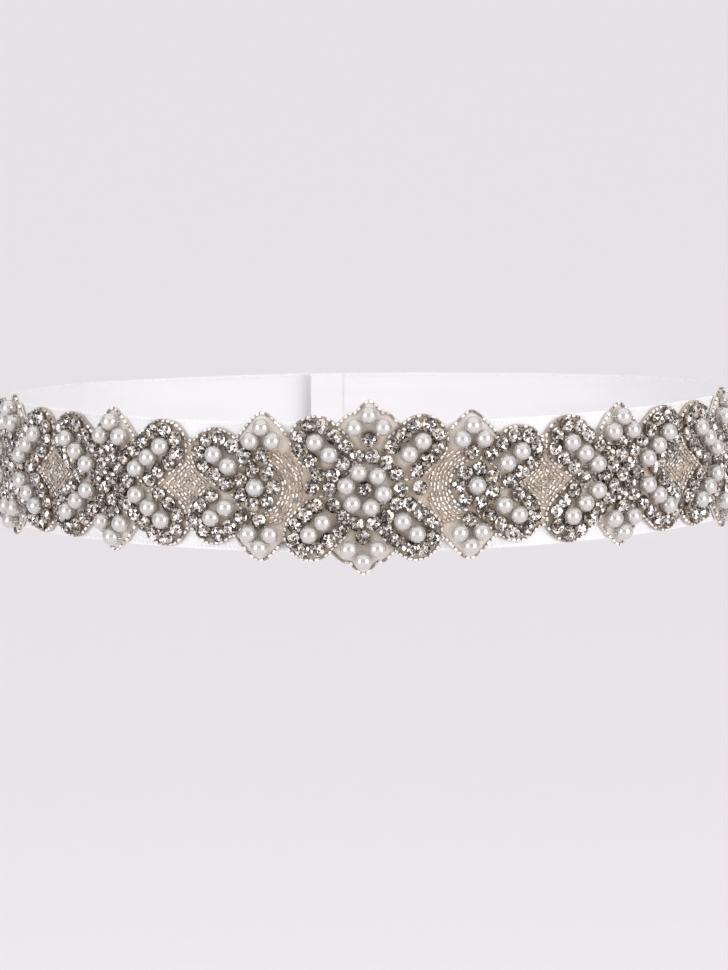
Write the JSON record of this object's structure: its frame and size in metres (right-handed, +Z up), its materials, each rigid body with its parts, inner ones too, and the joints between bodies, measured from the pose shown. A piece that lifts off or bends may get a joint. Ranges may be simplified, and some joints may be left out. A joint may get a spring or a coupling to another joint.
{
  "type": "bridal sash",
  "caption": "Satin ribbon sash worn round the waist, closed at the back by hooks and bars, with a scalloped pearl and crystal panel on its front.",
  "frame": {"origin": "the middle of the waist hollow, level with the ribbon's middle at the back and sides", "axes": "+Z up, -Y towards the front of the wearer, +X towards the wearer's left"},
  "size_m": [0.2378, 0.192, 0.0516],
  "materials": {
    "satin": "double-faced white satin ribbon, soft sheen",
    "beadwork": "ivory cloth covered in white pearls, silver-set clear stones and silver-lined seed beads",
    "hook_metal": "nickel-plated steel, satin"
  },
  "bodies": {
    "root": {"satin_ribbon": "satin", "medallion": "beadwork", "flower_left": "beadwork", "flower_right": "beadwork", "cross_left": "beadwork", "cross_right": "beadwork", "end_cross_left": "beadwork", "end_cross_right": "beadwork", "hook_upper": "hook_metal", "hook_lower": "hook_metal", "bar_upper": "hook_metal", "bar_lower": "hook_metal"}
  },
  "joints": []
}
